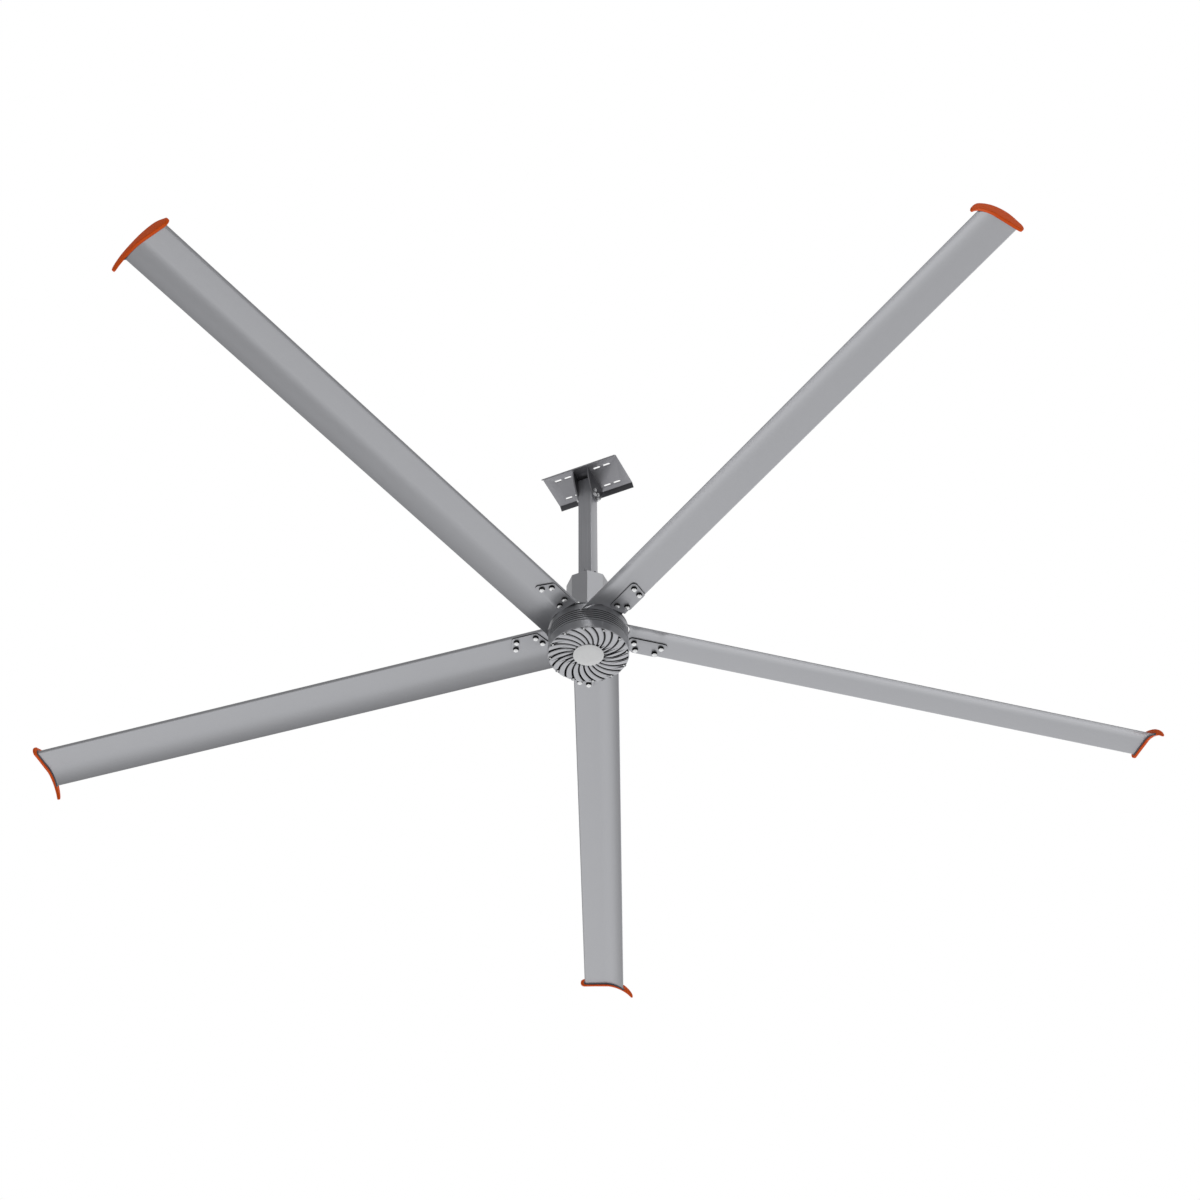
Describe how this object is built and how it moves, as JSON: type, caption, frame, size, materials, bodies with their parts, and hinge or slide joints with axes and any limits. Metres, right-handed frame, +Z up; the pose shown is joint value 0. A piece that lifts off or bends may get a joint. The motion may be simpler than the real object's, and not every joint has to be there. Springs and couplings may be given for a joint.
{
  "type": "industrial ceiling fan",
  "caption": "Large slow ceiling fan with long hollow aluminium blades on a gearless motor, hung from a square downrod and a slotted ceiling plate.",
  "frame": {"origin": "centre of the ceiling plate's top face, which rests against the ceiling", "axes": "+Z up, towards the ceiling; +X along the ceiling plate's long side, across the two ears; +Y along its short side"},
  "size_m": [5.7673, 5.9075, 1.273],
  "materials": {
    "bracket_paint": "grey paint, satin",
    "ear_paint": "dark grey paint, satin",
    "rod_paint": "grey paint, satin",
    "housing_sheet": "satin sheet",
    "cast_hub": "machined, satin",
    "shell_paint": "dark grey paint, satin",
    "cover_cast": "cast and blasted",
    "badge_plate": "pale satin",
    "blade_alloy": "anodised extrusion, satin",
    "clamp_alloy": "anodised plate, satin",
    "zinc": "bright zinc",
    "black_steel": "blackened",
    "steel": "ground steel",
    "lamination": "laminated steel",
    "copper": "enamelled copper",
    "magnet": "coated magnet",
    "seal_rubber": "black rubber",
    "seal_grey": "dark grey rubber",
    "cap_orange": "orange, satin"
  },
  "bodies": {
    "hanger": {"ceiling_plate": "bracket_paint", "ear_left": "ear_paint", "ear_right": "ear_paint", "ear_bolts": "zinc", "ear_nuts": "zinc", "downrod": "rod_paint", "stub_flange": "rod_paint", "rod_screws": "black_steel", "housing": "housing_sheet", "housing_screws": "zinc", "stator_shaft": "steel", "flange_bolts": "zinc", "flange_nuts": "zinc", "shaft_key": "steel", "stator_carrier": "cast_hub", "stator_core": "lamination", "stator_windings": "copper", "lock_nut": "steel", "upper_bearing_inner": "steel", "upper_bearing_balls": "steel", "lower_bearing_inner": "steel", "lower_bearing_balls": "steel"},
    "rotor": {"upper_bearing_outer": "steel", "lower_bearing_outer": "steel", "shaft_seal": "seal_rubber", "hub_plate": "cast_hub", "hub_bolts": "zinc", "rotor_shell": "shell_paint", "rotor_yoke": "lamination", "magnets": "magnet", "end_shield": "shell_paint", "shield_screws": "zinc", "bottom_cover": "cover_cast", "cover_screws": "zinc", "badge": "badge_plate", "blade_1": "blade_alloy", "blade_2": "blade_alloy", "blade_3": "blade_alloy", "blade_4": "blade_alloy", "blade_5": "blade_alloy", "clamp_plate_1": "clamp_alloy", "clamp_plate_2": "clamp_alloy", "clamp_plate_3": "clamp_alloy", "clamp_plate_4": "clamp_alloy", "clamp_plate_5": "clamp_alloy", "blade_bolts": "zinc", "blade_washers": "zinc", "tip_seals": "seal_grey", "tip_cap_1": "cap_orange", "tip_cap_2": "cap_orange", "tip_cap_3": "cap_orange", "tip_cap_4": "cap_orange", "tip_cap_5": "cap_orange"}
  },
  "joints": [
    {"name": "rotor_spin", "type": "hinge", "parent": "hanger", "child": "rotor", "pos_m": [0, 0, -1.129], "axis": [0, 0, 1], "continuous": true}
  ]
}
